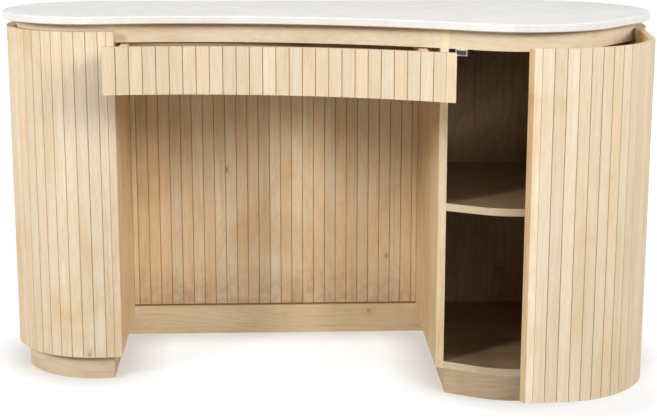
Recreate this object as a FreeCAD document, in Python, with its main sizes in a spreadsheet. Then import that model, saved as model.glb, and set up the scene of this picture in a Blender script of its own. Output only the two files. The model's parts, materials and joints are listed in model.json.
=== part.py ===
import FreeCAD, Part
import math
import os
import Sketcher

# Kidney-shaped writing desk: stone top on two curved pedestals with slatted doors, and a slatted
# drawer over the kneehole. Millimetres, +Z up, the user sits on the -Y side.
# The plan is laid out from the kneehole: its slatted back is the line y = 0, its centre x = 0.

doc = FreeCAD.newDocument("desk")
sheet = doc.addObject("Spreadsheet::Sheet", "dims")

sizes = {
    "desk_height": 752,
    "stone_thickness": 15,
    "stone_overhang": 8,
    "stone_easing": 1.5,
    "apron_height": 39,
    "apron_thickness": 18,
    "board": 15,
    "partition": 15,
    "plinth_height": 51,
    "plinth_side_recess": 18,
    "plinth_wall": 15,
    "shelf_level": 392,
    "kneehole_width": 639,
    "skirting_height": 65,
    "left_lobe_radius": 181,
    "left_lobe_shift": 53,
    "front_hollow_radius": 1100,
    "right_front_radius": 205,
    "right_front_shift": 165,
    "right_front_reach": 502,
    "right_flank_radius": 2500,
    "right_end_radius": 225,
    "right_end_shift": 223,
    "slat_thickness": 7,
    "slat_pitch": 24.5,
    "left_slat_pitch": 24,
    "right_slat_pitch": 23.3,
    "slat_gap": 0.8,
    "slat_easing": 0.9,
    "narrowest_slat": 8,
    "glue_line": 0.1,
    "shell_backing": 14,
    "kneehole_backing": 4,
    "kneehole_foot_gap": 5,
    "door_gap": 7.5,
    "door_setback": 3,
    "door_top_gap": 15,
    "door_lift": 0.5,
    "hinge_gap": 1.5,
    "stile_width": 16,
    "lipping_width": 14,
    "left_hinge_angle": 106,
    "right_hinge_arc": 35,
    "right_door_angle": 32.5,
    "pin_diameter": 5,
    "pin_clearance": 0.05,
    "pin_seat": 12,
    "pivot_plate": 3,
    "pivot_plate_width": 14,
    "pivot_plate_root": 16,
    "pivot_arm_width": 9,
    "stile_skin": 1.2,
    "catch_width": 24,
    "catch_height": 12.5,
    "catch_depth": 30,
    "catch_inset": 12.5,
    "pole_plate": 2,
    "pole_reach": 0.8,
    "strike_plate": 2,
    "strike_gap": 0.3,
    "drawer_pull": 245,
    "drawer_top_gap": 18,
    "drawer_front_height": 88,
    "drawer_front_gap": 2,
    "drawer_lipping": 19,
    "drawer_wall": 15,
    "drawer_side_height": 56,
    "drawer_drop": 3,
    "drawer_bottom": 5,
    "drawer_bottom_groove": 6,
    "drawer_back_gap": 28,
    "runner_width": 13,
    "runner_height": 36,
    "runner_front_gap": 25,
    "runner_steel": 1.2,
    "runner_play": 0.3,
    "runner_packing": 12,
    "shelf_pin_diameter": 5,
    "shelf_pin_length": 10,
    "shelf_pin_inset": 60,
}
for row, (name, value) in enumerate(sizes.items(), 1):
    sheet.set("A%d" % row, name)
    sheet.set("B%d" % row, str(value))
    sheet.setAlias("B%d" % row, name)
doc.recompute()


def size(name):
    return float(sheet.get(name))


# Levels and offsets from the outer wood face, derived from the sheet.
slat = size("slat_thickness")
carcassEdge = slat + size("shell_backing")
doorThickness = carcassEdge - size("door_gap")
pinOffset = doorThickness / 2
kneeLeft = -size("kneehole_width") / 2
kneeRight = size("kneehole_width") / 2
partition = size("partition")
backFace = slat + size("kneehole_backing")
backLine = backFace + carcassEdge
stoneUnder = size("desk_height") - size("stone_thickness")
apronUnder = stoneUnder - size("apron_height")
doorTop = stoneUnder - size("door_top_gap")
doorFoot = size("plinth_height") + size("door_lift")
doorHeight = doorTop - doorFoot
drawerTop = stoneUnder - size("drawer_top_gap")
pull = size("drawer_pull")

levels = {
    "plinth": "dims.plinth_height",
    "board_top": "dims.plinth_height + dims.board",
    "stone": "dims.desk_height - dims.stone_thickness",
    "apron": "dims.desk_height - dims.stone_thickness - dims.apron_height",
    "door": "dims.plinth_height + dims.door_lift",
    "shelf": "dims.shelf_level - dims.board",
    "door_top": "dims.desk_height - dims.stone_thickness - dims.door_top_gap",
}
levels["drawer_front"] = levels["stone"] + " - dims.drawer_top_gap - dims.drawer_front_height"
levels["drawer_side"] = levels["apron"] + " - dims.drawer_drop - dims.drawer_side_height"
panelSpan = levels["door_top"] + " - dims.plinth_height - dims.door_lift"

# The outline of the outer wood face is a chain of tangent arcs, walked from the back of the left
# lobe, round the front and the right lobe to the back again. All offsets keep the same centres.
leftCentre = (kneeLeft - size("left_lobe_shift"), backLine - size("left_lobe_radius"))
frontCentre = (kneeRight + size("right_front_shift"),
               size("right_front_radius") - size("right_front_reach"))
endCentre = (kneeRight + size("right_end_shift"), backLine - size("right_end_radius"))


def tangentCentre(first, firstReach, second, secondReach, side):
    # Centre at given distances from two others; side picks which side of the line it lies on.
    dx, dy = second[0] - first[0], second[1] - first[1]
    span = math.hypot(dx, dy)
    along = (firstReach ** 2 - secondReach ** 2 + span ** 2) / (2 * span)
    across = side * math.sqrt(firstReach ** 2 - along ** 2)
    return (first[0] + (along * dx - across * dy) / span,
            first[1] + (along * dy + across * dx) / span)


def heading(origin, target):
    return math.atan2(target[1] - origin[1], target[0] - origin[0]) % (2 * math.pi)


hollowRadius, flankRadius = size("front_hollow_radius"), size("right_flank_radius")
hollowCentre = tangentCentre(leftCentre, hollowRadius + size("left_lobe_radius"),
                             frontCentre, hollowRadius + size("right_front_radius"), -1)
flankCentre = tangentCentre(frontCentre, flankRadius - size("right_front_radius"),
                            endCentre, flankRadius - size("right_end_radius"), 1)
toHollow, fromHollow = heading(leftCentre, hollowCentre), heading(frontCentre, hollowCentre)
toFlank, toEnd = heading(flankCentre, frontCentre), heading(flankCentre, endCentre)
quarter = math.pi / 2

# Each arc: centre, radius, +1 bulging out or -1 hollow, first and last angle in walking order.
arcs = [
    (leftCentre, size("left_lobe_radius"), 1, quarter, toHollow),
    (hollowCentre, hollowRadius, -1, toHollow - math.pi, fromHollow - math.pi),
    (frontCentre, size("right_front_radius"), 1, fromHollow, toFlank),
    (flankCentre, flankRadius, 1, toFlank, toEnd),
    (endCentre, size("right_end_radius"), 1, toEnd, quarter + 2 * math.pi),
]
arcStarts = [0.0]
for centre, radius, bulge, first, last in arcs:
    arcStarts.append(arcStarts[-1] + radius * abs(last - first))
outlineLength = arcStarts[-1]

# Origin of the part: floor level below the middle of the standing desk with its drawer drawn out.
drawerRightX = kneeRight - size("drawer_front_gap")


def frontStation(x, inset):
    # Distance along the outline at which the front, moved in by inset, stands at this x.
    for (centre, radius, bulge, first, last), start in zip(arcs[:3], arcStarts):
        reach = radius - bulge * inset
        ratio = (x - centre[0]) / reach
        if abs(ratio) > 1:
            continue
        turn = math.acos(ratio)
        turn = turn if bulge < 0 else 2 * math.pi - turn
        if min(first, last) - 1e-9 <= turn <= max(first, last) + 1e-9:
            return start + radius * abs(turn - first)
    raise ValueError("no front at x = %s" % x)


def arcAt(station):
    for index, (arc, start) in enumerate(zip(arcs, arcStarts)):
        if station <= arcStarts[index + 1] + 1e-9:
            return index, arc, start
    raise ValueError("station past the outline")


def planPoint(station, inset):
    index, (centre, radius, bulge, first, last), start = arcAt(station)
    turn = first + math.copysign((station - start) / radius, last - first)
    reach = radius - bulge * inset
    return (centre[0] + reach * math.cos(turn), centre[1] + reach * math.sin(turn))


def inwardAt(station):
    (ax, ay), (bx, by) = planPoint(station, 0), planPoint(station, 1)
    return (bx - ax, by - ay)


drawerTip = planPoint(frontStation(drawerRightX, 0), 0)
originX = (leftCentre[0] - size("left_lobe_radius") + endCentre[0] + size("right_end_radius")) / 2
originY = (drawerTip[1] - pull + backLine + size("stone_overhang")) / 2


def vec(point, z=0.0):
    return FreeCAD.Vector(point[0] - originX, point[1] - originY, z)


def run(station0, station1, inset):
    # Arc pieces along the outline between two stations, as (curve, start point, end point, swap).
    pieces = []
    low, high = min(station0, station1), max(station0, station1)
    for (centre, radius, bulge, first, last), start in zip(arcs, arcStarts):
        end = start + radius * abs(last - first)
        s0, s1 = max(low, start), min(high, end)
        if s1 - s0 < 1e-6:
            continue
        t0 = first + math.copysign((s0 - start) / radius, last - first)
        t1 = first + math.copysign((s1 - start) / radius, last - first)
        reach = radius - bulge * inset
        circle = Part.Circle(vec(centre), FreeCAD.Vector(0, 0, 1), reach)
        ends = [vec((centre[0] + reach * math.cos(t), centre[1] + reach * math.sin(t))) for t in (t0, t1)]
        pieces.append((Part.ArcOfCircle(circle, min(t0, t1), max(t0, t1)), ends[0], ends[1], t1 < t0))
    if station1 < station0:
        pieces = [(curve, b, a, not swap) for curve, a, b, swap in reversed(pieces)]
    return pieces


def straight(point0, point1):
    a, b = point0, point1
    return (Part.LineSegment(a, b), a, b, False)


def closed(*parts):
    # One loop from runs of arcs and loose corner points, with straight sides wherever ends differ.
    loop, cursor, opening = [], None, None
    for part in parts:
        pieces = part if isinstance(part, list) else None
        begin = pieces[0][1] if pieces else part
        if cursor is None:
            opening = begin
        elif (cursor - begin).Length > 1e-6:
            loop.append(straight(cursor, begin))
        if pieces:
            loop.extend(pieces)
            cursor = pieces[-1][2]
        else:
            cursor = begin
    if (cursor - opening).Length > 1e-6:
        loop.append(straight(cursor, opening))
    return loop


def rectangle(x0, y0, x1, y1):
    return closed(vec((x0, y0)), vec((x1, y0)), vec((x1, y1)), vec((x0, y1)))


# Which way each moving group stands in the desk as drawn: right door open, drawer pulled out.
rightHinge = arcStarts[4] + size("right_hinge_arc")
leftHinge = size("left_lobe_radius") * math.radians(size("left_hinge_angle"))
rightAxis = planPoint(rightHinge, pinOffset)
leftAxis = planPoint(leftHinge, pinOffset)
doorTurn = FreeCAD.Rotation(FreeCAD.Vector(0, 0, 1), size("right_door_angle"))
poses = {
    "carcass": FreeCAD.Placement(),
    "left_door": FreeCAD.Placement(),
    "right_door": FreeCAD.Placement(FreeCAD.Vector(), doorTurn, vec(rightAxis)),
    "drawer": FreeCAD.Placement(FreeCAD.Vector(0, -pull, 0), FreeCAD.Rotation()),
    "runner_mid": FreeCAD.Placement(FreeCAD.Vector(0, -pull / 2, 0), FreeCAD.Rotation()),
}
nodes = []


def planeOf(body, role):
    return next(o for o in body.Origin.OriginFeatures if o.Role == role)


def drawn(body, name, loops):
    sketch = body.newObject("Sketcher::SketchObject", name)
    sketch.AttachmentSupport = (planeOf(body, "XY_Plane"), [""])
    sketch.MapMode = "FlatFace"
    for loop in loops:
        firstIndex = sketch.GeometryCount
        for curve, a, b, swap in loop:
            sketch.addGeometry(curve, False)
        count = len(loop)
        for i in range(count):
            j = (i + 1) % count
            tail = 1 if loop[i][3] else 2
            head = 2 if loop[j][3] else 1
            sketch.addConstraint(
                Sketcher.Constraint("Coincident", firstIndex + i, tail, firstIndex + j, head))
    return sketch


def place(obj, pose, level):
    obj.Placement = poses[pose]
    if level:
        obj.setExpression(".Placement.Base.z", level)


def padded(label, loops, level, height, pose="carcass"):
    # A board cut to a plan outline and stood at a level.
    body = doc.addObject("PartDesign::Body", label)
    body.Label = label
    sketch = drawn(body, label + "_plan", loops)
    pad = body.newObject("PartDesign::Pad", label + "_pad")
    pad.Profile = sketch
    pad.setExpression("Length", height)
    sketch.Visibility = False
    place(body, pose, level)
    nodes.append(body)
    return body, pad


def grouped(label, solids, pose="carcass"):
    piece = doc.addObject("Part::Feature", label)
    piece.Label = label
    piece.Shape = solids[0] if len(solids) == 1 else Part.makeCompound(solids)
    piece.Placement = poses[pose].multiply(piece.Placement)
    nodes.append(piece)
    return piece


def prism(loop, z0, height):
    wire = Part.Wire(Part.__sortEdges__([curve.toShape() for curve, a, b, swap in loop]))
    solid = Part.Face(wire).extrude(FreeCAD.Vector(0, 0, height))
    solid.translate(FreeCAD.Vector(0, 0, z0))
    return solid


def slatLoop(station0, station1):
    # One flat slat in plan: its back lies on the bent backing with a line of glue between, and its
    # front edges are eased.
    ease, middle = size("slat_easing"), (station0 + station1) / 2
    (ax, ay), (nx, ny) = planPoint(station0, slat), inwardAt(middle)
    sag = 0
    for station in (middle, (station0 + middle) / 2, (middle + station1) / 2):
        mx, my = planPoint(station, slat)
        sag = max(sag, (ax - mx) * nx + (ay - my) * ny)
    seat = slat - sag - size("glue_line")
    corners = [planPoint(station0, seat), planPoint(station0, ease), planPoint(station0 + ease, 0),
               planPoint(station1 - ease, 0), planPoint(station1, ease), planPoint(station1, seat)]
    return closed(*[vec(corner) for corner in corners])


def slatRow(joints, z0, height):
    half = size("slat_gap") / 2
    return [prism(slatLoop(a + half, b - half), z0, height) for a, b in zip(joints, joints[1:])]


def evenJoints(station0, station1, pitch):
    count = max(1, round((station1 - station0) / pitch))
    return [station0 + i * (station1 - station0) / count for i in range(count + 1)]


def fullJoints(station0, station1, pitch):
    # Full slats from the first station on, the last one cut to what is left.
    count = math.ceil((station1 - station0 - size("narrowest_slat")) / pitch)
    return [station0 + i * pitch for i in range(count)] + [station1]


def flatSlats(x0, x1, faceY, outward, z0, height, split=False):
    # Slats side by side on a flat wall, showing towards outward along Y; split ends on half slats.
    count = max(1, round((x1 - x0) / size("slat_pitch")))
    step, half, ease = (x1 - x0) / count, size("slat_gap") / 2, size("slat_easing")
    joints = [x0 + i * step for i in range(count + 1)]
    if split:
        joints = [x0] + [x - step / 2 for x in joints[1:]] + [x1]
    solids = []
    for left, right in zip(joints, joints[1:]):
        a, b = left + half, right - half
        back = faceY - outward * slat
        corners = [(a, back), (a, faceY - outward * ease), (a + ease, faceY),
                   (b - ease, faceY), (b, faceY - outward * ease), (b, back)]
        solids.append(prism(closed(*[vec(c) for c in corners]), z0, height))
    return solids


# Stone top: the outline carried out past the wood by the overhang, with eased edges.
overhang = size("stone_overhang")
stoneLoop = closed(run(0, outlineLength, -overhang))
stoneBody, stonePad = padded("stone_top", [stoneLoop], levels["stone"], "dims.stone_thickness")
doc.recompute()
flats = ["Face%d" % (i + 1) for i, face in enumerate(stonePad.Shape.Faces)
         if abs(abs(face.normalAt(0, 0).z) - 1) < 1e-6]
stoneEase = stoneBody.newObject("PartDesign::Chamfer", "stone_top_easing")
stoneEase.Base = (stonePad, flats)
stoneEase.setExpression("Size", "dims.stone_easing")
stoneBody.Tip = stoneEase

# Pedestals. Boards stop at the carcass edge, which the doors cover and the rear shell touches.
wallBack = backLine - carcassEdge
for side, inner, outward in (("left", kneeLeft, -1), ("right", kneeRight, 1)):
    outer = inner + outward * partition
    x0, x1 = min(inner, outer), max(inner, outer)
    edge = run(frontStation(x0, carcassEdge), frontStation(x1, carcassEdge), carcassEdge)
    padded(side + "_partition", [closed(edge, vec((x1, wallBack)), vec((x0, wallBack)))],
           levels["plinth"], levels["stone"] + " - dims.plinth_height")

    def lobe(x, inset, side=side):
        # Pedestal plan from a straight side at x, round the lobe, moved in by inset.
        station = frontStation(x, inset)
        edge = run(0, station, inset) if side == "left" else run(station, outlineLength, inset)
        return closed(edge, vec((x, backLine - inset)))

    board = lobe(outer, carcassEdge)
    padded(side + "_floor", [board], levels["plinth"], "dims.board")
    padded(side + "_shelf", [board], levels["shelf"], "dims.board")

    footX, wall = inner + outward * size("plinth_side_recess"), size("plinth_wall")
    rim, well = lobe(footX, carcassEdge), lobe(footX + outward * wall, carcassEdge + wall)
    padded(side + "_plinth", [rim, well], None, "dims.plinth_height")

    band = size("apron_thickness")
    station, inset = frontStation(outer, carcassEdge + band), carcassEdge + band
    if side == "left":
        innerRun = run(station, 0, inset)
        apronLoop = closed(vec((outer, wallBack)), run(0, frontStation(outer, carcassEdge), carcassEdge),
                           innerRun, vec((outer, backLine - inset)))
    else:
        innerRun = run(outlineLength, station, inset)
        apronLoop = closed(run(frontStation(outer, carcassEdge), outlineLength, carcassEdge),
                           vec((outer, wallBack)), vec((outer, backLine - inset)), innerRun)
    padded(side + "_apron", [apronLoop], levels["apron"], "dims.apron_height")

band = size("apron_thickness")
frontEdge = run(frontStation(kneeLeft, carcassEdge), frontStation(kneeRight, carcassEdge), carcassEdge)
frontInner = run(frontStation(kneeRight, carcassEdge + band), frontStation(kneeLeft, carcassEdge + band),
                 carcassEdge + band)
padded("front_apron", [closed(frontEdge, frontInner)], levels["apron"], "dims.apron_height")
padded("back_apron", [rectangle(kneeLeft, wallBack - band, kneeRight, wallBack)],
       levels["apron"], "dims.apron_height")

# Kneehole: a skirting between the plinths, notched under the partitions, and a slatted panel
# standing on it, up to the back apron.
panelFoot, under = size("skirting_height"), size("plinth_height")
recess = size("plinth_side_recess")
low = prism(rectangle(kneeLeft - recess, 0, kneeRight + recess, backFace), 0, under)
high = prism(rectangle(kneeLeft, 0, kneeRight, backFace), under, panelFoot - under)
grouped("stretcher", [low.fuse(high).removeSplitter()])
padded("kneehole_panel", [rectangle(kneeLeft, slat, kneeRight, backFace)], "dims.skirting_height",
       levels["apron"] + " - dims.skirting_height")
slatFoot = panelFoot + size("kneehole_foot_gap")
grouped("kneehole_slats", flatSlats(kneeLeft, kneeRight, 0, -1, slatFoot, apronUnder - slatFoot, True))

# Rear shell: one slatted wall from hinge to hinge round the back, in three pieces.
hingeClear = pinOffset + size("hinge_gap")
leftShellEnd, rightShellStart = leftHinge - hingeClear, rightHinge + hingeClear
shellFoot, shellHeight = size("plinth_height"), doorTop - size("plinth_height")
shellSpan = levels["door_top"] + " - dims.plinth_height"
for name, s0, s1 in (("left", 0, leftShellEnd), ("right", rightShellStart, outlineLength)):
    loop = closed(run(s0, s1, slat), run(s1, s0, carcassEdge))
    padded(name + "_shell", [loop], levels["plinth"], shellSpan)
    joints = evenJoints(s0, s1, size("slat_pitch"))
    grouped(name + "_shell_slats", slatRow(joints, shellFoot, shellHeight))
padded("back_shell", [rectangle(leftCentre[0], wallBack, endCentre[0], backLine - slat)],
       levels["plinth"], shellSpan)
grouped("back_shell_slats",
        flatSlats(leftCentre[0], endCentre[0], backLine, 1, shellFoot, shellHeight))

# Doors: bent panel with slats, a lipping on the free edge and a rounded stile on the hinge pins.
pinRadius = size("pin_diameter") / 2
pinHole = pinRadius + size("pin_clearance")
up = FreeCAD.Vector(0, 0, 1)


def cylinder(radius, height, point, z):
    return Part.makeCylinder(radius, height, vec(point, z), up)


def plankAt(station, along0, along1, inset0, inset1, z0, height):
    # A block square to the outline at a station, given along it and inwards from it.
    px, py = planPoint(station, 0)
    nx, ny = inwardAt(station)
    corner = lambda along, inset: vec((px + along * ny + inset * nx, py - along * nx + inset * ny))
    loop = closed(corner(along0, inset0), corner(along1, inset0),
                  corner(along1, inset1), corner(along0, inset1))
    return prism(loop, z0, height)


freeRight = kneeRight + size("door_setback")
doors = (("left", leftHinge, kneeLeft, leftAxis, 1), ("right", rightHinge, freeRight, rightAxis, -1))
for side, hinge, freeX, axis, toFree in doors:
    pose = side + "_door"
    stileEnd = hinge + toFree * size("stile_width")
    lip = frontStation(freeX, 0) - toFree * size("lipping_width")
    panelLoop = closed(run(stileEnd, lip, slat), run(lip, stileEnd, doorThickness))
    padded(side + "_door_panel", [panelLoop], levels["door"], panelSpan, pose)
    if side == "left":
        joints = fullJoints(stileEnd, lip, size("left_slat_pitch"))
    else:
        joints = evenJoints(lip, stileEnd, size("right_slat_pitch"))
    grouped(side + "_door_slats", slatRow(joints, doorFoot, doorHeight), pose)
    lipLoop = closed(run(lip, frontStation(freeX, 0), 0),
                     run(frontStation(freeX, doorThickness), lip, doorThickness))
    padded(side + "_door_lipping", [lipLoop], levels["door"], panelSpan, pose)

    # The hinge stile is as thick as the door and half round about the pin. Two slots from its inner
    # side let in the arms of the pivot plates, so nothing of the hinge shows with the door shut.
    plate, seat, lift = size("pivot_plate"), size("pin_seat"), size("door_lift")
    armHalf, rootHalf = size("pivot_arm_width") / 2, size("pivot_plate_width") / 2
    plateFeet = (size("plinth_height") + size("board"), apronUnder - plate)
    round0 = Part.makeCylinder(pinOffset, doorHeight, vec(axis, doorFoot), up)
    flank = prism(closed(run(hinge, stileEnd, 0), run(stileEnd, hinge, doorThickness)), doorFoot, doorHeight)
    stile = flank.fuse(round0).removeSplitter()
    pins, plates = [], []
    for z in plateFeet:
        slotFoot, slotHeight = z - lift, plate + lift * 2
        sides = sorted((-toFree * (pinOffset + lift), toFree * (armHalf + lift * 2)))
        stile = stile.cut(plankAt(hinge, *sides, size("stile_skin"), carcassEdge, slotFoot, slotHeight))
        pinFoot, pinLength = slotFoot - seat, slotHeight + seat * 2
        stile = stile.cut(cylinder(pinHole, pinLength, axis, pinFoot))
        pins.append(cylinder(pinRadius, pinLength, axis, pinFoot))
        nose = cylinder(armHalf, plate, axis, z)
        arm = plankAt(hinge, -armHalf, armHalf, pinOffset, carcassEdge, z, plate)
        rootEnd = carcassEdge + size("pivot_plate_root")
        root = plankAt(hinge, -rootHalf, rootHalf, carcassEdge, rootEnd, z, plate)
        solid = nose.fuse([arm, root]).removeSplitter()
        plates.append(solid.cut(cylinder(pinHole, plate, axis, z)))
    grouped(side + "_door_stile", [stile], pose)
    grouped(side + "_pivot_pins", pins, pose)
    grouped(side + "_pivot_plates", plates)

    # Magnetic catch under the apron by the free edge: a steel frame round the magnet, plate on the door.
    away = -1 if side == "left" else 1
    partitionOut = (kneeLeft if side == "left" else kneeRight) + away * partition
    catchX = partitionOut + away * (size("catch_inset") + size("catch_width") / 2)
    catchAt = frontStation(catchX, carcassEdge)
    wide, tall, pole = size("catch_width") / 2, size("catch_height"), size("pole_plate")
    catchFoot = apronUnder - tall
    strikeFace = doorThickness + size("strike_plate") + size("strike_gap")
    catchFace = strikeFace + size("pole_reach")
    catchBack = catchFace + size("catch_depth")
    core, coreFoot, coreTall = wide - pole, catchFoot + pole, tall - pole * 2
    grouped(side + "_catch", [plankAt(catchAt, -core, core, catchFace, catchBack, coreFoot, coreTall)])
    frame = plankAt(catchAt, -wide, wide, strikeFace, catchBack, catchFoot, tall)
    bore = plankAt(catchAt, -core, core, strikeFace, catchBack, coreFoot, coreTall)
    grouped(side + "_catch_poles", [frame.cut(bore)])
    midPanel = (slat + doorThickness) / 2
    strike = plankAt(catchAt, -wide, wide, midPanel, doorThickness + size("strike_plate"), catchFoot, tall)
    grouped(side + "_strike", [strike.cut(prism(panelLoop, doorFoot, doorHeight))], pose)

# Drawer: slatted front between the doors, box on telescopic runners under the front apron.
frontLeftX, frontRightX = kneeLeft + size("drawer_front_gap"), drawerRightX
lip = frontStation(frontRightX, 0) - size("drawer_lipping")
frontLoop = closed(run(frontStation(frontLeftX, slat), lip, slat),
                   run(lip, frontStation(frontLeftX, doorThickness), doorThickness))
padded("drawer_front", [frontLoop], levels["drawer_front"], "dims.drawer_front_height", "drawer")
lipLoop = closed(run(lip, frontStation(frontRightX, 0), 0),
                 run(frontStation(frontRightX, doorThickness), lip, doorThickness))
padded("drawer_lipping", [lipLoop], levels["drawer_front"], "dims.drawer_front_height", "drawer")
frontHeight = size("drawer_front_height")
frontJoints = evenJoints(frontStation(frontLeftX, 0), lip, size("slat_pitch"))
grouped("drawer_slats", slatRow(frontJoints, drawerTop - frontHeight, frontHeight), "drawer")

boxWall, runnerWidth = size("drawer_wall"), size("runner_width")
railRight = kneeRight - size("runner_packing")
boxLeft, boxRight = kneeLeft + runnerWidth, railRight - runnerWidth
boxBack = -size("drawer_back_gap")
for side, x0, x1 in (("left", boxLeft, boxLeft + boxWall), ("right", boxRight - boxWall, boxRight)):
    nose = run(frontStation(x0, doorThickness), frontStation(x1, doorThickness), doorThickness)
    padded("drawer_side_" + side, [closed(nose, vec((x1, boxBack)), vec((x0, boxBack)))],
           levels["drawer_side"], "dims.drawer_side_height", "drawer")
innerLeft, innerRight = boxLeft + boxWall, boxRight - boxWall
padded("drawer_back", [rectangle(innerLeft, boxBack - boxWall, innerRight, boxBack)],
       levels["drawer_side"], "dims.drawer_side_height", "drawer")
tray = run(frontStation(innerLeft, doorThickness), frontStation(innerRight, doorThickness), doorThickness)
trayBack = boxBack - boxWall
padded("drawer_bottom", [closed(tray, vec((innerRight, trayBack)), vec((innerLeft, trayBack)))],
       levels["drawer_side"] + " + dims.drawer_bottom_groove", "dims.drawer_bottom", "drawer")

# Telescopic runners: three nested steel channels a side, the middle one travelling half as far.
# The right one stands on a packing strip.
steel, play = size("runner_steel"), size("runner_play")
runnerTop = apronUnder - size("drawer_drop") - (size("drawer_side_height") - size("runner_height")) / 2
runnerBack = boxBack
shortSide = planPoint(frontStation(boxLeft, doorThickness), doorThickness)[1]
runnerFront = shortSide + size("runner_front_gap")


def channel(wallX, outward, depth, height):
    # Open channel lying along Y with its web at wallX and its lips pointing towards outward.
    mid = runnerTop - size("runner_height") / 2
    back, front = runnerBack, runnerFront
    a, b = wallX, wallX + outward * depth
    block = prism(rectangle(min(a, b), front, max(a, b), back), mid - height / 2, height)
    c = a + outward * steel
    inside = rectangle(min(c, b), front, max(c, b), back)
    return block.cut(prism(inside, mid - height / 2 + steel, height - steel * 2))


padded("runner_packing", [rectangle(railRight, runnerFront, kneeRight, runnerBack)],
       levels["drawer_side"], "dims.drawer_side_height")
for side, wallX, outward in (("left", kneeLeft, 1), ("right", railRight, -1)):
    stepIn = (steel + play) * 2
    outerHeight = size("runner_height")
    depth = runnerWidth - steel - play
    grouped(side + "_runner_outer", [channel(wallX, outward, depth, outerHeight)])
    midX = wallX + outward * (steel + play)
    grouped(side + "_runner_mid", [channel(midX, outward, depth - steel - play, outerHeight - stepIn)],
            "runner_mid")
    boxX = wallX + outward * runnerWidth
    grouped(side + "_runner_inner",
            [channel(boxX, -outward, depth - steel - play, outerHeight - stepIn * 2)], "drawer")

# Shelf pins stand in the partitions just under the shelves.
pinSolids = []
pinDepth = size("shelf_pin_length")
for inner, outward in ((kneeLeft, -1), (kneeRight, 1)):
    face = inner + outward * partition
    radius = size("shelf_pin_diameter") / 2
    z = size("shelf_level") - size("board") - radius
    near = frontStation(face, carcassEdge)
    for y in (planPoint(near, carcassEdge)[1] + size("shelf_pin_inset"), wallBack - size("shelf_pin_inset")):
        pinSolids.append(Part.makeCylinder(radius, pinDepth, vec((face, y), z),
                                           FreeCAD.Vector(outward, 0, 0)))
grouped("shelf_pins", pinSolids)

doc.recompute()
faults = [o.Name for o in doc.Objects if "Invalid" in o.State or "Error" in o.State]
faults += [n.Label for n in nodes if n.Shape.isNull() or not n.Shape.isValid() or not n.Shape.Solids]
if faults:
    raise RuntimeError("not built: %s" % ", ".join(faults))
os.makedirs("parts", exist_ok=True)
whole = FreeCAD.BoundBox()
for node in nodes:
    node.Shape.exportStep("parts/%s.step" % node.Label)
    whole.add(node.Shape.optimalBoundingBox(False))
print("nodes", len(nodes), "solids", sum(len(n.Shape.Solids) for n in nodes))
print("box", [round(v, 2) for v in (whole.XMin, whole.XMax, whole.YMin, whole.YMax, whole.ZMin, whole.ZMax)])
print("origin shift", round(originX, 3), round(originY, 3))
print("right hinge", [round(v / 1000, 6) for v in vec(rightAxis)],
      "left hinge", [round(v / 1000, 6) for v in vec(leftAxis)])
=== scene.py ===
import json
import math

import bmesh
import bpy
from mathutils import Matrix, Vector


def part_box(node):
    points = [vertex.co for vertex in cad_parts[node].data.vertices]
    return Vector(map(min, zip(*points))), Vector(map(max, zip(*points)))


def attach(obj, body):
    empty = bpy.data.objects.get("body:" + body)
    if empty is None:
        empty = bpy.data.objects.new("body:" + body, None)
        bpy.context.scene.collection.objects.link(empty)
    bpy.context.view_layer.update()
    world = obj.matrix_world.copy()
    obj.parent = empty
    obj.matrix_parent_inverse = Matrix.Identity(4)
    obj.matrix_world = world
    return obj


# Slatted kidney-shaped desk: its wood, stone and metal finishes, screw heads, camera and studio.
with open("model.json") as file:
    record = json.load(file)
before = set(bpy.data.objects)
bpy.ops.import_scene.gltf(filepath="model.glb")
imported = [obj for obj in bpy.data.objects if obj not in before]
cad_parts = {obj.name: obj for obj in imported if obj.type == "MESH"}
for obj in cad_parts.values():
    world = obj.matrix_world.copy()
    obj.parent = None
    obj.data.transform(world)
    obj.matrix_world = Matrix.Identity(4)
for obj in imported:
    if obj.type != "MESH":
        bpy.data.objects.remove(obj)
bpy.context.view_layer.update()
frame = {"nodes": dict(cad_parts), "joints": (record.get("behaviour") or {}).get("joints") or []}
scene = bpy.context.scene
nodes = frame["nodes"]
print("frame loaded:", len(nodes), "nodes")

photoCamera = {
    "frameWidth": 657.0, "frameHeight": 420.0,                # pixels
    "focal": 1532.92, "centreX": 337.08, "centreY": 203.87,   # pixels
    "place": (-0.1275, -3.0429, 1.0394), "clipEnd": 60.0,     # metres
    "yaw": 0.0474, "pitch": 0.2162, "roll": 0.0023,           # radians
    "sensor": 36.0,                                           # millimetres
}


def makeCamera(spec):
    data = bpy.data.cameras.new("photoCamera")
    data.sensor_fit = "HORIZONTAL"
    data.sensor_width = spec["sensor"]
    data.lens = spec["focal"] / spec["frameWidth"] * spec["sensor"]
    data.shift_x = (spec["frameWidth"] / 2 - spec["centreX"]) / spec["frameWidth"]
    data.shift_y = (spec["centreY"] - spec["frameHeight"] / 2) / spec["frameWidth"]
    data.clip_end = spec["clipEnd"]
    camera = bpy.data.objects.new("photoCamera", data)
    turn = (Matrix.Rotation(-spec["yaw"], 4, "Z")
            @ Matrix.Rotation(math.pi / 2 - spec["pitch"], 4, "X")
            @ Matrix.Rotation(spec["roll"], 4, "Z"))
    camera.matrix_world = Matrix.Translation(spec["place"]) @ turn
    scene.collection.objects.link(camera)
    scene.camera = camera


makeCamera(photoCamera)
print("camera placed")


def srgb(red, green, blue):
    channel = lambda v: v / 12.92 if v <= 0.04045 else ((v + 0.055) / 1.055) ** 2.4
    return tuple(channel(v / 255) for v in (red, green, blue)) + (1.0,)


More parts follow.
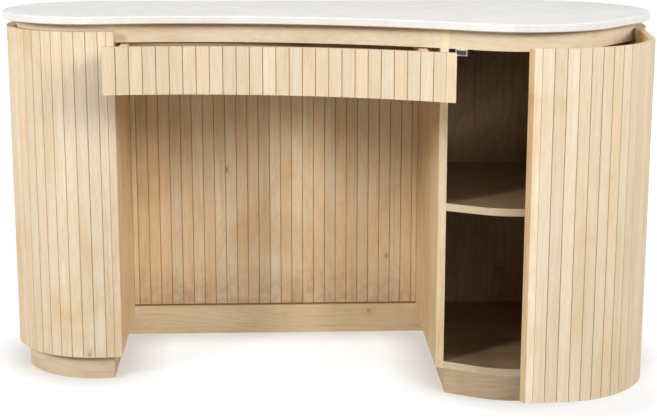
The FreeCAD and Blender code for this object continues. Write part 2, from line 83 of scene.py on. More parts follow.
class Graph:
    # A material and the few node shortcuts the finishes below are drawn with.
    def __init__(self, name):
        self.material = bpy.data.materials.new(name)
        self.material.use_nodes = True
        self.tree = self.material.node_tree
        self.tree.nodes.clear()
        self.shader = self.tree.nodes.new("ShaderNodeBsdfPrincipled")
        out = self.tree.nodes.new("ShaderNodeOutputMaterial")
        self.link(self.shader.outputs["BSDF"], out.inputs["Surface"])

    def link(self, source, target):
        self.tree.links.new(source, target)

    def feed(self, target, value):
        if isinstance(value, bpy.types.NodeSocket):
            self.link(value, target)
        else:
            target.default_value = value

    def node(self, kind, settings=None, **inputs):
        made = self.tree.nodes.new(kind)
        for key, value in (settings or {}).items():
            setattr(made, key, value)
        for key, value in inputs.items():
            self.feed(made.inputs[key], value)
        return made

    def math(self, operation, *values):
        made = self.node("ShaderNodeMath", {"operation": operation})
        for socket, value in zip(made.inputs, values):
            self.feed(socket, value)
        return made.outputs[0]

    def vector(self, operation, *values):
        made = self.node("ShaderNodeVectorMath", {"operation": operation})
        for socket, value in zip(made.inputs, values):
            self.feed(socket, value)
        return made.outputs["Value" if operation in ("DOT_PRODUCT", "LENGTH") else "Vector"]

    def split(self, vector):
        return self.node("ShaderNodeSeparateXYZ", Vector=vector).outputs

    def join(self, x, y, z):
        return self.node("ShaderNodeCombineXYZ", X=x, Y=y, Z=z).outputs["Vector"]

    def ramp(self, factor, start, end, low=0.0, high=1.0):
        made = self.node("ShaderNodeMapRange", {"clamp": True})
        for key, value in zip(("Value", "From Min", "From Max", "To Min", "To Max"),
                              (factor, start, end, low, high)):
            self.feed(made.inputs[key], value)
        return made.outputs["Result"]

    def mix(self, factor, a, b, blend="MIX"):
        made = self.node("ShaderNodeMix", {"data_type": "RGBA", "blend_type": blend})
        self.feed(made.inputs["Factor"], factor)
        self.feed(made.inputs[6], a)        # the two colour sockets
        self.feed(made.inputs[7], b)
        return made.outputs[2]

    def noise(self, vector, scale, detail=3.0, roughness=0.55, distortion=0.0):
        return self.node("ShaderNodeTexNoise", Vector=vector, Scale=scale, Detail=detail,
                         Roughness=roughness, Distortion=distortion).outputs["Fac"]

    def chance(self, value):
        return self.node("ShaderNodeTexWhiteNoise", {"noise_dimensions": "1D"}, W=value).outputs["Value"]

    def bump(self, height, strength, distance):
        made = self.node("ShaderNodeBump", Strength=strength, Distance=distance, Height=height)
        self.link(made.outputs["Normal"], self.shader.inputs["Normal"])


# Pale wood: limed outside, bare in the kneehole and drawer; the faces seen only inside are a dark brown that
# is painted shade.
limedTones = {"light": srgb(238, 223, 198), "mid": srgb(231, 210, 177), "warm": srgb(234, 206, 173),
              "cool": srgb(222, 208, 184), "deep": srgb(212, 180, 135), "line": srgb(160, 120, 78),
              "stain": srgb(219, 182, 124), "stainShare": 0.62, "knotShare": 0.05}
# Painted shade: a darker copy of the limed tone, with fewer stains, for the drawer front and the right door.
shadedLimedTones = dict(limedTones, light=srgb(228, 213, 189), mid=srgb(222, 202, 171), warm=srgb(224, 199, 168),
                   cool=srgb(215, 202, 179), deep=srgb(206, 177, 137), stain=srgb(214, 179, 130),
                   stainShare=0.38)
bareTones = {"light": srgb(249, 230, 196), "mid": srgb(245, 218, 175), "warm": srgb(245, 213, 169),
             "cool": srgb(237, 217, 182), "deep": srgb(223, 187, 138), "line": srgb(132, 93, 56),
             "stain": srgb(214, 170, 112), "stainShare": 0.50, "knotShare": 0.32, "foot": srgb(150, 104, 60)}
warmTones = dict(bareTones, light=srgb(236, 210, 168), mid=srgb(231, 198, 148), warm=srgb(231, 194, 144),
                 cool=srgb(222, 197, 154), deep=srgb(207, 168, 116), stain=srgb(192, 152, 102),
                 knotShare=0.12)
edgeTones = dict(bareTones, light=srgb(222, 192, 148), mid=srgb(210, 177, 132), warm=srgb(211, 173, 129),
                 cool=srgb(203, 175, 136), deep=srgb(190, 152, 106), stain=srgb(180, 142, 96),
                 knotShare=0.0)
boardTones = {"light": srgb(235, 219, 192), "mid": srgb(230, 211, 179), "warm": srgb(232, 207, 175),
              "cool": srgb(225, 211, 185), "deep": srgb(216, 190, 151), "line": srgb(176, 136, 92),
              "stain": srgb(211, 182, 142), "stainShare": 0.45, "knotShare": 0.25}
apronTones = dict(boardTones, light=srgb(229, 215, 191), mid=srgb(224, 208, 180), warm=srgb(228, 207, 178),
                  cool=srgb(219, 207, 184), deep=srgb(208, 184, 147), stain=srgb(209, 178, 134),
                  stainShare=0.66)
skirtTones = dict(bareTones, light=srgb(252, 234, 198), mid=srgb(249, 224, 182), warm=srgb(250, 221, 177),
                  cool=srgb(244, 224, 188), deep=srgb(230, 196, 147), stain=srgb(224, 182, 122),
                  stainShare=0.45)
# Painted shade: darker board tones for the plinths, which stand in the shade under the doors, the right one
# most; the lighter set also darkens the cabinet floor's front edge.
plinthShadeTones = dict(boardTones, light=srgb(206, 183, 150), mid=srgb(195, 170, 135), warm=srgb(196, 168, 133),
                   cool=srgb(188, 168, 138), deep=srgb(175, 145, 107), stain=srgb(168, 137, 98))
shadedBoardTones = dict(boardTones, light=srgb(226, 208, 180), mid=srgb(218, 197, 165), warm=srgb(219, 194, 162),
                 cool=srgb(211, 195, 168), deep=srgb(200, 173, 135), stain=srgb(192, 162, 122))
# Painted shade: a dark brown for faces inside the cabinets and drawer, standing in for the shade that falls
# there.
insideShadeTones = {"light": srgb(166, 141, 108), "mid": srgb(153, 127, 95), "warm": srgb(156, 126, 92),
               "cool": srgb(146, 124, 96), "deep": srgb(124, 98, 70), "line": srgb(86, 64, 44),
               "stain": srgb(110, 86, 60), "stainShare": 0.60, "knotShare": 0.45}
# The narrow gaps between slats: walls and backing.
grooveTones = {"light": srgb(232, 184, 126), "mid": srgb(222, 170, 110), "warm": srgb(224, 166, 104),
               "cool": srgb(208, 166, 116), "deep": srgb(192, 140, 84), "line": srgb(138, 92, 52),
               "stain": srgb(168, 118, 68), "stainShare": 0.50, "knotShare": 0.0}
seamTones = dict(grooveTones, light=srgb(178, 132, 84), mid=srgb(164, 117, 71), warm=srgb(166, 115, 69),
                 cool=srgb(152, 114, 76), deep=srgb(138, 95, 55), line=srgb(96, 64, 36),
                 stain=srgb(120, 80, 46))
grain = {
    # Noises: scale, detail, roughness, distortion.
    "bands": (34.0, 3.0, 0.55, 0.5), "fibre": (260.0, 3.0, 0.6), "pores": (620.0, 1.0, 0.5),
    "mottle": (7.0, 4.0, 0.62, 0.4), "blotch": (17.0, 3.0, 0.6, 0.5), "streak": (105.0, 2.0, 0.5),
    "stain": (5.2, 5.0, 0.62, 0.7), "wander": (2.2, 2.0, 0.5),
    # How much longer than wide the fine figures are, and how much of the run the broad ones keep.
    "bandStretch": 22.0, "fibreStretch": 44.0, "streakStretch": 38.0,
    "mottleRun": 0.45, "blotchRun": 0.4, "knotRun": 0.55, "pithRun": 0.5, "stainRise": 0.7,
    "runShift": 9.0, "sideShift": 3.0,      # most that a plank's figure lies elsewhere, metres
    "secondDraw": 31.7,                     # added to a plank's number for its other chance
    "turnSteps": 900.0,                     # steps in a radian by which turned slats are told apart
    "ringPitch": 0.011, "ringWander": 0.020, "lateWood": 3.0,       # metres, metres, power
    "pithPitch": 0.31, "pithWander": 0.35, "pithShift": 0.4,        # metres
    # Ramps: start and end in the field, share of the tone there.
    "bandRamp": (0.34, 0.66, 0.0, 0.85), "hueRamp": (0.1, 0.9, 0.25, 0.75),
    "warmPlanks": (0.30, 0.34), "coolPlanks": (0.62, 0.66), "stainRamp": (0.50, 0.72),
    "levelRamp": (0.0, 1.0, 0.95, 1.04),
    "softLayers": (("mottle", "deep", (0.50, 0.76, 0.0, 0.65)), ("mottle", "light", (0.46, 0.24, 0.0, 0.40)),
                   ("blotch", "warm", (0.56, 0.72, 0.0, 0.70))),
    "sharpLayers": (("streak", "deep", (0.56, 0.76, 0.0, 0.50)), ("fibre", "deep", (0.44, 0.74, 0.0, 0.32))),
    "poreRamp": (0.60, 0.75), "poreShare": 0.22,
    "knotScale": 7.0, "knotTilt": 0.7, "knotWander": 0.04,
    "haloRamp": (0.1352, 0.052), "haloShare": 0.45, "knotRamp": (0.052, 0.026), "knotDark": 0.60,
    "roughRamp": (0.3, 0.7, 0.48, 0.66), "specular": 0.35,
    "fibreRise": 0.5, "poreDip": 0.6, "bump": (0.22, 0.0005),       # strength, metres
}
# Darker towards the foot of the kneehole slats, in patches.
footDarkening = {
    "reach": 0.100,                                     # metres above the foot where it ends
    "patches": (60.0, 3.0, 0.6), "patchRamp": (0.38, 0.66, 0.20, 0.46),
}
# Cosines between which a face begins to count and counts in full.
faceRamps = {"flat": (0.6, 0.75), "towards": (0.7, 0.85), "outward": (0.2, 0.5),
             "athwart": (0.72, 0.5), "upright": (0.5, 0.35)}


def woodColour(g, place, along, plank, tones, ringShare):
    # Colour, fibre and pore fields of one wood; place in metres, plank a number per slat or board.
    r1, r2 = g.chance(plank), g.chance(g.math("ADD", plank, grain["secondDraw"]))
    x, y, z = g.split(place)[:3]
    length, width, deep = {"x": (x, y, z), "z": (z, x, y)}[along]
    run = g.math("ADD", length, g.math("MULTIPLY", r1, grain["runShift"]))
    side = g.math("ADD", width, g.math("MULTIPLY", r2, grain["sideShift"]))

    def field(kind, drawn):
        return g.noise(g.join(drawn, side, deep), *grain[kind])

    bandRun = g.math("DIVIDE", run, grain["bandStretch"])
    bands, pores = field("bands", bandRun), field("pores", bandRun)
    fields = {
        "fibre": field("fibre", g.math("DIVIDE", run, grain["fibreStretch"])),
        "streak": field("streak", g.math("DIVIDE", run, grain["streakStretch"])),
        "mottle": field("mottle", g.math("MULTIPLY", run, grain["mottleRun"])),
        "blotch": field("blotch", g.math("MULTIPLY", run, grain["blotchRun"])),
    }
    # Stains run on across the slats, where the other figures keep to one slat.
    stain = g.noise(g.join(x, y, g.math("MULTIPLY", z, grain["stainRise"])), *grain["stain"])

    # Growth rings about a pith line that wanders beside the board give the arched figure.
    wander = field("wander", g.math("MULTIPLY", run, grain["pithRun"]))
    reach = g.math("ADD", g.math("MULTIPLY", wander, grain["pithWander"]),
                   g.math("MULTIPLY", r1, grain["pithShift"]))
    radius = g.math("SQRT", g.math("ADD", g.math("POWER", g.math("MODULO", side, grain["pithPitch"]), 2.0),
                                   g.math("POWER", g.math("ADD", deep, reach), 2.0)))
    radius = g.math("ADD", radius, g.math("MULTIPLY", bands, grain["ringWander"]))
    ring = g.math("FRACT", g.math("DIVIDE", radius, grain["ringPitch"]))
    late = g.math("POWER", ring, grain["lateWood"])

    def lay(colour, layers):
        for kind, tone, ramp in layers:
            colour = g.mix(g.ramp(fields[kind], *ramp), colour, tones[tone])
        return colour

    colour = g.mix(g.ramp(bands, *grain["bandRamp"]), tones["light"], tones["mid"])
    hue = g.mix(g.ramp(r2, *grain["warmPlanks"]), tones["warm"], tones["light"])
    hue = g.mix(g.ramp(r2, *grain["coolPlanks"]), hue, tones["cool"])
    colour = g.mix(g.ramp(r1, *grain["hueRamp"]), colour, hue)
    colour = lay(colour, grain["softLayers"])
    colour = g.mix(g.ramp(stain, *grain["stainRamp"], 0.0, tones["stainShare"]), colour, tones["stain"])
    colour = g.mix(g.math("MULTIPLY", late, ringShare), colour, tones["deep"])
    colour = lay(colour, grain["sharpLayers"])
    poreMask = g.ramp(pores, *grain["poreRamp"])
    colour = g.mix(g.math("MULTIPLY", poreMask, grain["poreShare"]), colour, tones["line"])

    # Small knots, only in some cells of a flat scatter.
    across = g.math("ADD", side, g.math("MULTIPLY", deep, grain["knotTilt"]))
    cell = g.node("ShaderNodeTexVoronoi", {"feature": "F1", "voronoi_dimensions": "2D"},
                  Vector=g.join(g.math("MULTIPLY", run, grain["knotRun"]), across, 0.0),
                  Scale=grain["knotScale"])
    pick = g.math("LESS_THAN", g.split(cell.outputs["Color"])[0], tones["knotShare"])
    spread = g.math("ADD", cell.outputs["Distance"], g.math("MULTIPLY", bands, grain["knotWander"]))
    halo = g.math("MULTIPLY", g.ramp(spread, *grain["haloRamp"]), pick)
    knot = g.math("MULTIPLY", g.ramp(spread, *grain["knotRamp"]), pick)
    colour = g.mix(g.math("MULTIPLY", halo, grain["haloShare"]), colour, tones["deep"])
    colour = g.mix(g.math("MULTIPLY", knot, grain["knotDark"]), colour, tones["line"])
    level = g.ramp(r1, *grain["levelRamp"])
    colour = g.mix(1.0, colour, g.join(level, level, level), "MULTIPLY")
    return colour, fields["fibre"], poreMask


def localNormal(g):
    true = g.node("ShaderNodeNewGeometry").outputs["True Normal"]
    turn = g.node("ShaderNodeVectorTransform",
                  {"vector_type": "NORMAL", "convert_from": "WORLD", "convert_to": "OBJECT"}, Vector=true)
    return turn.outputs["Vector"]


def faceMask(g, how, place, facing):
    # 1 on the faces named: flat, towards a direction, or outward of or athwart a centre line.
    flat = g.math("ABSOLUTE", g.split(facing)[2])
    if how == "flat":
        return g.ramp(flat, *faceRamps["flat"])
    if isinstance(how, tuple):
        return g.ramp(g.vector("DOT_PRODUCT", facing, how), *faceRamps["towards"])
    cx, cy = how["centre"]
    x, y = g.split(place)[:2]
    away = g.vector("NORMALIZE", g.join(g.math("SUBTRACT", x, cx), g.math("SUBTRACT", y, cy), 0.0))
    along = g.vector("DOT_PRODUCT", facing, away)
    if how["kind"] == "outward":
        return g.ramp(along, *faceRamps["outward"])
    athwart = g.ramp(g.math("ABSOLUTE", along), *faceRamps["athwart"])
    return g.math("MULTIPLY", athwart, g.ramp(flat, *faceRamps["upright"]))


def woodMaterial(name, tones, along, plank="board", ringShare=0.35, wrap=None, faces=(), foot=None):
    # plank: "turned" tells slats apart by the way they face, (start, step) by their place along X.
    # wrap: centre about which the grain runs round. faces: (which, tones) laid over in turn.
    # foot: height in metres of the lower end, towards which the colour grows darker in patches.
    g = Graph(name)
    place = raw = g.node("ShaderNodeTexCoord").outputs["Object"]
    facing = localNormal(g)
    if plank == "turned":
        nx, ny = g.split(facing)[:2]
        index = g.math("ROUND", g.math("MULTIPLY", g.math("ARCTAN2", ny, nx), grain["turnSteps"]))
    elif plank == "board":
        index = g.math("ADD", 0.0, float(len(name)))     # one piece of wood, picked by its name
    else:
        start, step = plank
        index = g.math("FLOOR", g.math("DIVIDE", g.math("SUBTRACT", g.split(place)[0], start), step))
    if wrap:
        x, y, z = g.split(place)[:3]
        cx, cy, outward, mean = wrap
        dx, dy = g.math("SUBTRACT", x, cx), g.math("SUBTRACT", y, cy)
        turn = g.math("ARCTAN2", dy, g.math("MULTIPLY", dx, outward))
        away = g.math("SQRT", g.math("ADD", g.math("MULTIPLY", dx, dx), g.math("MULTIPLY", dy, dy)))
        place = g.join(g.math("MULTIPLY", turn, mean), away, z)
    colour, fibre, poreMask = woodColour(g, place, along, index, tones, ringShare)
    if foot:
        patches = g.ramp(g.noise(raw, *footDarkening["patches"]), *footDarkening["patchRamp"])
        low = g.ramp(g.split(raw)[2], foot + footDarkening["reach"], foot)
        colour = g.mix(g.math("MULTIPLY", low, patches), colour, tones["foot"])
    for how, other in faces:
        over = woodColour(g, place, along, index, other, ringShare)[0]
        colour = g.mix(faceMask(g, how, raw, facing), colour, over)
    g.link(colour, g.shader.inputs["Base Color"])
    g.link(g.ramp(fibre, *grain["roughRamp"]), g.shader.inputs["Roughness"])
    g.shader.inputs["Specular IOR Level"].default_value = grain["specular"]
    height = g.math("SUBTRACT", g.math("MULTIPLY", fibre, grain["fibreRise"]),
                    g.math("MULTIPLY", poreMask, grain["poreDip"]))
    g.bump(height, *grain["bump"])
    return g.material


paleStone = {
    "light": srgb(237, 235, 231), "dark": srgb(228, 225, 220), "vein": srgb(218, 212, 203),
    # Noises and ramps as in the wood.
    "cloud": (5.5, 6.0, 0.62, 1.2), "speck": (260.0, 3.0, 0.6), "drift": (3.2, 7.0, 0.6, 1.6),
    "cloudRamp": (0.36, 0.68), "veinRamp": (0.035, 0.0, 0.0, 0.30), "speckRamp": (0.55, 0.75, 0.0, 0.35),
    "roughRamp": (0.3, 0.7, 0.37, 0.50), "specular": 0.4, "bump": (0.08, 0.0003),
}


def stoneMaterial(spec):
    g = Graph("honedStone")
    place = g.node("ShaderNodeTexCoord").outputs["Object"]
    cloud = g.noise(place, *spec["cloud"])
    speck = g.noise(place, *spec["speck"])
    drift = g.math("ABSOLUTE", g.math("SUBTRACT", g.noise(place, *spec["drift"]), 0.5))
    colour = g.mix(g.ramp(cloud, *spec["cloudRamp"]), spec["light"], spec["dark"])
    colour = g.mix(g.ramp(drift, *spec["veinRamp"]), colour, spec["vein"])
    colour = g.mix(g.ramp(speck, *spec["speckRamp"]), colour, spec["dark"])
    g.link(colour, g.shader.inputs["Base Color"])
    g.link(g.ramp(speck, *spec["roughRamp"]), g.shader.inputs["Roughness"])
    g.shader.inputs["Specular IOR Level"].default_value = spec["specular"]
    g.bump(speck, *spec["bump"])
    return g.material


fittings = {
    "zinc": {"colour": srgb(190, 192, 194), "metallic": 1.0, "roughness": 0.36},
    "nickel": {"colour": srgb(218, 217, 214), "metallic": 1.0, "roughness": 0.24},
    "bronze": {"colour": srgb(92, 74, 56), "metallic": 1.0, "roughness": 0.48},
    "black": {"colour": srgb(34, 33, 32), "metallic": 0.0, "roughness": 0.50},
}
fittingWear = {
    "smear": (60.0, 4.0, 0.6), "smearRamp": (0.35, 0.75, 0.0, 0.4), "dull": 0.62,
    "roughField": (0.3, 0.7), "smoother": 0.08, "rougher": 0.12,
    "speck": (900.0, 2.0), "bump": (0.05, 0.0003),
}


def fittingMaterial(name, spec, wear):
    g = Graph(name)
    place = g.node("ShaderNodeTexCoord").outputs["Object"]
    smear = g.noise(place, *wear["smear"])
    speck = g.noise(place, *wear["speck"])
    dull = tuple(v * wear["dull"] for v in spec["colour"][:3]) + (1.0,)
    colour = g.mix(g.ramp(smear, *wear["smearRamp"]), spec["colour"], dull)
    rough = g.ramp(smear, *wear["roughField"],
                   spec["roughness"] - wear["smoother"], spec["roughness"] + wear["rougher"])
    g.link(colour, g.shader.inputs["Base Color"])
    g.link(rough, g.shader.inputs["Roughness"])
    g.shader.inputs["Metallic"].default_value = spec["metallic"]
    g.bump(speck, *wear["bump"])
    return g.material


# Middles of the two pedestals for grain that runs round them: x, y, side, mean radius.
leftRound = (-0.4795, 0.1728, -1.0, 0.16)
rightRound = (0.40, 0.08, 1.0, 0.22)
# Outward is away from a pedestal's middle, or from a far point behind or before a flat row.
leftOut, rightOut, frontOut, backOut = leftRound[:2], rightRound[:2], (-0.1, 6.0), (0.0, -6.0)
walls = lambda centre: ({"kind": "athwart", "centre": centre}, grooveTones)
outer = lambda centre: ({"kind": "outward", "centre": centre}, grooveTones)
edges = ("flat", boardTones)
# Painted shade: flat faces in the dark inside tone, used for the shelf's and cabinet floors' tops and the
# drawer front's top and bottom edges.
flatShade = ("flat", insideShadeTones)
towardsLeft, towardsRight, towardsFront = (-1.0, 0.0, 0.0), (1.0, 0.0, 0.0), (0.0, -1.0, 0.0)
freeEdge = ((-0.843, -0.537, 0.0), edgeTones)      # the open door's free edge as it stands at rest
kneeholeRow = (-0.43879, 0.024577)                 # first slat's edge and the pitch, metres along X
backRow = (-0.4795, 0.02473)
kneeholeFoot = 0.066                               # top of the skirting, metres
woods = {
    "leftSlats": dict(tones=limedTones, along="z", plank="turned", ringShare=0.16, faces=(walls(leftOut),)),
    # Right door and drawer slats in the darker limed copy, painted shade.
    "rightSlats": dict(tones=shadedLimedTones, along="z", plank="turned", ringShare=0.16,
                       faces=(walls(rightOut),)),
    "drawerSlats": dict(tones=shadedLimedTones, along="z", plank="turned", ringShare=0.16,
                        faces=(walls(frontOut),)),
    "kneeholeSlats": dict(tones=bareTones, along="z", plank=kneeholeRow, ringShare=0.20,
                          faces=(walls(frontOut),), foot=kneeholeFoot),
    "backSlats": dict(tones=limedTones, along="z", plank=backRow, ringShare=0.16, faces=(walls(backOut),)),
    "lipping": dict(tones=limedTones, along="z", ringShare=0.2),
    "doorLipping": dict(tones=limedTones, along="z", ringShare=0.2, faces=(freeEdge,)),
    # The partitions' faces towards the cabinets take the painted shade tone.
    "leftPartition": dict(tones=bareTones, along="z",
                          faces=((towardsLeft, insideShadeTones), (towardsFront, boardTones))),
    # Right partition: its front edge in the brighter bare tone is painted light where the drawer shades it;
    # its face towards the cabinet is painted shade.
    "rightPartition": dict(tones=warmTones, along="z",
                           faces=((towardsRight, insideShadeTones), (towardsFront, bareTones))),
    "apron": dict(tones=apronTones, along="x", ringShare=0.3),
    "leftApron": dict(tones=apronTones, along="x", ringShare=0.3, wrap=leftRound),
    "rightApron": dict(tones=apronTones, along="x", ringShare=0.3, wrap=rightRound),
    # Plinths in the painted shade tones.
    "leftPlinth": dict(tones=shadedBoardTones, along="x", wrap=leftRound),
    "rightPlinth": dict(tones=plinthShadeTones, along="x", wrap=rightRound),
    "skirting": dict(tones=skirtTones, along="x"),
    # Shelf and cabinet floor boards: flat tops in the painted shade tone.
    "shelving": dict(tones=boardTones, along="x", ringShare=0.4, faces=(flatShade,)),
    # Cabinet floor board: front edge in the darker board tone, painted shade.
    "cabinetFloor": dict(tones=shadedBoardTones, along="x", ringShare=0.4, faces=(flatShade,)),
    # The shells' inside faces take the painted shade tone.
    "leftShell": dict(tones=insideShadeTones, along="z", ringShare=0.4, faces=(outer(leftOut), edges)),
    "rightShell": dict(tones=insideShadeTones, along="z", ringShare=0.4, faces=(outer(rightOut), edges)),
    # The door panels' inside faces take the darker edge tone as painted shade.
    "leftDoor": dict(tones=edgeTones, along="z", ringShare=0.4, faces=(outer(leftOut),)),
    "rightDoor": dict(tones=edgeTones, along="z", ringShare=0.4, faces=(outer(rightOut),)),
    "kneeholePanel": dict(tones=seamTones, along="z", ringShare=0.4),
    # Back panel: inside faces in the painted shade tone.
    "backPanel": dict(tones=insideShadeTones, along="z", ringShare=0.4, faces=(outer(backOut), edges)),
    # Drawer front: top and bottom edges in the painted shade tone.
    "drawerFront": dict(tones=bareTones, along="x", ringShare=0.4, faces=(outer(frontOut), flatShade)),
    "drawerBox": dict(tones=bareTones, along="x", ringShare=0.3),
    # The drawer's bottom and back in the painted shade tone, darker than the drawer's sides.
    "drawerFloor": dict(tones=insideShadeTones, along="x", ringShare=0.4),
}
finishes = {"stone": stoneMaterial(paleStone)}
for woodName, woodSpec in woods.items():
    ending = "" if woodName.endswith("Slats") else "Wood"
    finishes[woodName] = woodMaterial(woodName + ending, **woodSpec)
for fittingName, fittingSpec in fittings.items():
    finishes[fittingName] = fittingMaterial(fittingName + "Fitting", fittingSpec, fittingWear)

finishOf = {
    "stone_top": "stone", "kneehole_slats": "kneeholeSlats", "back_shell_slats": "backSlats",
    "drawer_slats": "drawerSlats", "drawer_front": "drawerFront", "kneehole_panel": "kneeholePanel",
    "left_partition": "leftPartition", "right_partition": "rightPartition", "back_shell": "backPanel",
    "left_shell": "leftShell", "right_shell": "rightShell", "left_door_panel": "leftDoor",
    "right_door_panel": "rightDoor", "right_door_lipping": "doorLipping",
    "left_apron": "leftApron", "right_apron": "rightApron", "front_apron": "apron", "back_apron": "apron",
    "left_plinth": "leftPlinth", "right_plinth": "rightPlinth", "stretcher": "skirting",
    # Drawer bottom and back: painted shade.
    "drawer_bottom": "drawerFloor", "drawer_back": "drawerFloor",
}
finishByEnding = (
    ("slats", "Slats"), ("lipping", "lipping"), ("stile", "lipping"), ("floor", "cabinetFloor"),
    ("shelf", "shelving"), ("outer", "zinc"), ("mid", "zinc"), ("inner", "zinc"),
    ("pivot_pins", "bronze"), ("pivot_plates", "bronze"), ("shelf_pins", "nickel"),
    ("strike", "nickel"), ("poles", "nickel"), ("catch", "black"),
)


def finishFor(name):
    if name in finishOf:
        return finishOf[name]
    for ending, finish in finishByEnding:
        if name.endswith(ending):
            return name.split("_")[0] + finish if finish == "Slats" else finish
    return "drawerBox"      # the drawer's sides and the strip behind its right runner


for name, obj in nodes.items():
    obj.data.materials.clear()
    obj.data.materials.append(finishes[finishFor(name)])
print("finishes given:", len(finishes))

screw = {
    "radius": 0.0030, "rise": 0.0009,                   # metres
    "rim": 0.35, "crown": 0.72, "sides": 20,            # share of the rise, share of the radius, count
    "slotLong": 0.0018, "slotWide": 0.00045, "slotDeep": 0.0007, "slotTaper": 0.7,
    "plate": 0.003,                                     # thickness of a pivot plate
    "plateSpots": ((0.0185, 0.3), (0.0260, 1.1)),       # distance from the pin, turn of the recess
    "upperTurn": 0.5,                                   # more turn on the upper plates
    "catchSpots": ((0.0020, 0.7), (0.0110, 0.2)),       # distance from the catch's middle, turn
}
# Which way the pivot plates and catches run in from the door.
plateWays = {"left": (0.9613, 0.2756), "right": (-0.8794, 0.4761)}
catchWays = {"left": (-0.0845, 0.9964), "right": (0.4864, 0.8737)}
pins = {joint["name"]: joint.get("pos_m") for joint in frame["joints"]}
faceUp, faceDown = (0, 0, 1), (0, 0, -1)


def findScrewPlaces(spec):
    # Each place: point on the face, way the face looks, turn of the recess.
    places = []
    for side, (inX, inY) in plateWays.items():
        low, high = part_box(side + "_pivot_plates")
        pinX, pinY = pins[side + "_door_hinge"][:2]
        for far, turn in spec["plateSpots"]:
            x, y = pinX + inX * far, pinY + inY * far
            places.append(((x, y, low.z + spec["plate"]), faceUp, turn))
            places.append(((x, y, high.z - spec["plate"]), faceDown, turn + spec["upperTurn"]))
    for side, (inX, inY) in catchWays.items():
        low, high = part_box(side + "_catch_poles")
        middle = (low + high) / 2
        for far, turn in spec["catchSpots"]:
            places.append(((middle.x + inX * far, middle.y + inY * far, low.z), faceDown, turn))
    return places


def addScrew(mesh, place, facing, turn, spec):
    # Domed head with a cross recess, standing on the face it holds.
    tilt = Vector(facing).to_track_quat("Z", "Y").to_matrix().to_4x4()
    move = Matrix.Translation(place) @ tilt @ Matrix.Rotation(turn, 4, "Z")
    point = lambda x, y, z: mesh.verts.new(move @ Vector((x, y, z)))
    sides, radius, rise = spec["sides"], spec["radius"], spec["rise"]

    def ring(r, z):
        turns = [math.tau * i / sides for i in range(sides)]
        return [point(r * math.cos(angle), r * math.sin(angle), z) for angle in turns]

    def band(low, high):
        for i in range(len(low)):
            mesh.faces.new((low[i - 1], low[i], high[i], high[i - 1]))

    foot, rim = ring(radius, 0.0), ring(radius, rise * spec["rim"])
    crown = ring(radius * spec["crown"], rise)
    band(foot, rim)
    band(rim, crown)
    a, b, taper = spec["slotWide"], spec["slotLong"], spec["slotTaper"]
    cross = ((b, -a), (b, a), (a, a), (a, b), (-a, b), (-a, a),
             (-b, a), (-b, -a), (-a, -a), (-a, -b), (a, -b), (a, -a))
    mouth = [point(x, y, rise) for x, y in cross]
    bottom = [point(x * taper, y * taper, rise - spec["slotDeep"]) for x, y in cross]
    band(mouth, bottom)
    mesh.faces.new(bottom)
    loops = [mesh.edges.get((loop[i - 1], loop[i])) for loop in (crown, mouth) for i in range(len(loop))]
    bmesh.ops.triangle_fill(mesh, use_beauty=True, edges=loops)


def makeScrews(name, places, body):
    mesh = bmesh.new()
    for place, facing, turn in places:
        addScrew(mesh, place, facing, turn, screw)
    bmesh.ops.recalc_face_normals(mesh, faces=mesh.faces)
    data = bpy.data.meshes.new(name)
    mesh.to_mesh(data)
    mesh.free()
    data.materials.append(finishes["bronze"])
    piece = bpy.data.objects.new(name, data)
    scene.collection.objects.link(piece)
    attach(piece, body)


screwPlaces = findScrewPlaces(screw)
makeScrews("fittingScrews", screwPlaces, "carcass")
print("screws set:", len(screwPlaces))

studio = {
    "floorSize": 30.0, "floorColour": srgb(165, 165, 165), "paperColour": (0.8, 0.8, 0.8, 1.0),
    "paper": (3.0, 2.0), "paperRamp": (0.3, 0.7, 0.0, 0.05), "roughness": 0.9, "specular": 0.1,
    "floorGlow": 0.775, "glowNear": 1.2, "glowFar": 3.0,    # what the camera sees added; metres
    # Contact shade on the floor: depth, reach in metres, open share where it starts and is full.
    "footShade": 0.32, "shadeReach": 0.11, "shadeRamp": (1.0, 0.45), "shadeSamples": 8,
    "white": (1.0, 1.0, 1.0, 1.0), "shadeTint": (1.0, 0.95, 0.90, 1.0),
    "ambient": 0.05,
    "lamps": {   # place, aim, width and height, watts
        "leftLamp": ((-3.01, -2.46, 2.00), (0.0, -0.1, 0.45), (0.6, 0.9), 93.0),
        "frontLamp": ((2.02, -2.88, 1.75), (0.0, -0.1, 0.45), (1.15, 0.9), 75.0),
        "middleLamp": ((0.45, -3.60, 1.90), (0.0, -0.1, 0.45), (1.4, 0.9), 15.0),
        "rightLamp": ((3.60, -0.60, 1.50), (0.4, 0.0, 0.45), (1.0, 1.0), 24.0),
        "sideLamp": ((-3.60, 0.10, 1.50), (-0.4, 0.1, 0.45), (1.0, 1.0), 26.0),
        "backLamp": ((0.8, 4.3, 0.50), (0.0, 0.2, 0.40), (1.8, 0.4), 55.0),
        "topLamp": ((0.0, -0.4, 3.4), (0.0, 0.0, 0.4), (1.4, 1.4), 35.0),
    },
}


def seenRays(tree):
    # 1 for camera, glossy and transmission rays.
    path = tree.nodes.new("ShaderNodeLightPath")
    seen = path.outputs["Is Camera Ray"]
    for other in ("Is Glossy Ray", "Is Transmission Ray"):
        top = tree.nodes.new("ShaderNodeMath")
        top.operation = "MAXIMUM"
        tree.links.new(seen, top.inputs[0])
        tree.links.new(path.outputs[other], top.inputs[1])
        seen = top.outputs[0]
    return seen


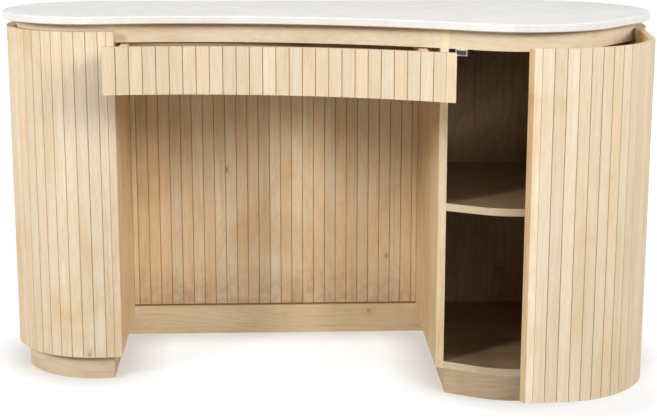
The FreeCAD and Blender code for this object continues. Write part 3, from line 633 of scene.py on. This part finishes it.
def makeFloor(spec):
    mesh = bpy.data.meshes.new("floor")
    half = spec["floorSize"] / 2
    corners = [(-half, -half, 0), (half, -half, 0), (half, half, 0), (-half, half, 0)]
    mesh.from_pydata(corners, [], [(0, 1, 2, 3)])
    floor = bpy.data.objects.new("floor", mesh)
    scene.collection.objects.link(floor)
    g = Graph("floorPaper")
    place = g.node("ShaderNodeTexCoord").outputs["Object"]
    paper = g.ramp(g.noise(place, *spec["paper"]), *spec["paperRamp"])
    g.link(g.mix(paper, spec["floorColour"], spec["paperColour"]), g.shader.inputs["Base Color"])
    g.shader.inputs["Roughness"].default_value = spec["roughness"]
    g.shader.inputs["Specular IOR Level"].default_value = spec["specular"]
    glow = g.ramp(g.vector("LENGTH", place), spec["glowNear"], spec["glowFar"], spec["floorGlow"], 1.0)
    near = g.node("ShaderNodeAmbientOcclusion", {"samples": spec["shadeSamples"]},
                  Distance=spec["shadeReach"]).outputs["AO"]
    shade = g.ramp(near, *spec["shadeRamp"])
    glow = g.math("SUBTRACT", glow, g.math("MULTIPLY", shade, spec["footShade"]))
    g.link(g.mix(shade, spec["white"], spec["shadeTint"]), g.shader.inputs["Emission Color"])
    g.link(g.math("MULTIPLY", glow, seenRays(g.tree)), g.shader.inputs["Emission Strength"])
    mesh.materials.append(g.material)


def makeLamp(name, place, aim, size, watts):
    data = bpy.data.lights.new(name, "AREA")
    data.shape, data.energy = "RECTANGLE", watts
    data.size, data.size_y = size
    lamp = bpy.data.objects.new(name, data)
    lamp.location = place
    lamp.rotation_euler = (Vector(aim) - Vector(place)).to_track_quat("-Z", "Y").to_euler()
    scene.collection.objects.link(lamp)


def makeWorld(spec):
    world = bpy.data.worlds.new("studioWorld")
    scene.world = world
    world.use_nodes = True
    tree = world.node_tree
    background = tree.nodes["Background"]
    strength = tree.nodes.new("ShaderNodeMapRange")
    strength.inputs["To Min"].default_value = spec["ambient"]
    strength.inputs["To Max"].default_value = 1.0
    tree.links.new(seenRays(tree), strength.inputs["Value"])
    tree.links.new(strength.outputs["Result"], background.inputs["Strength"])
    background.inputs["Color"].default_value = spec["white"]


makeFloor(studio)
makeWorld(studio)
for lampName, lampSpec in studio["lamps"].items():
    makeLamp(lampName, *lampSpec)
scene.view_settings.view_transform = "Standard"
print("studio lit")
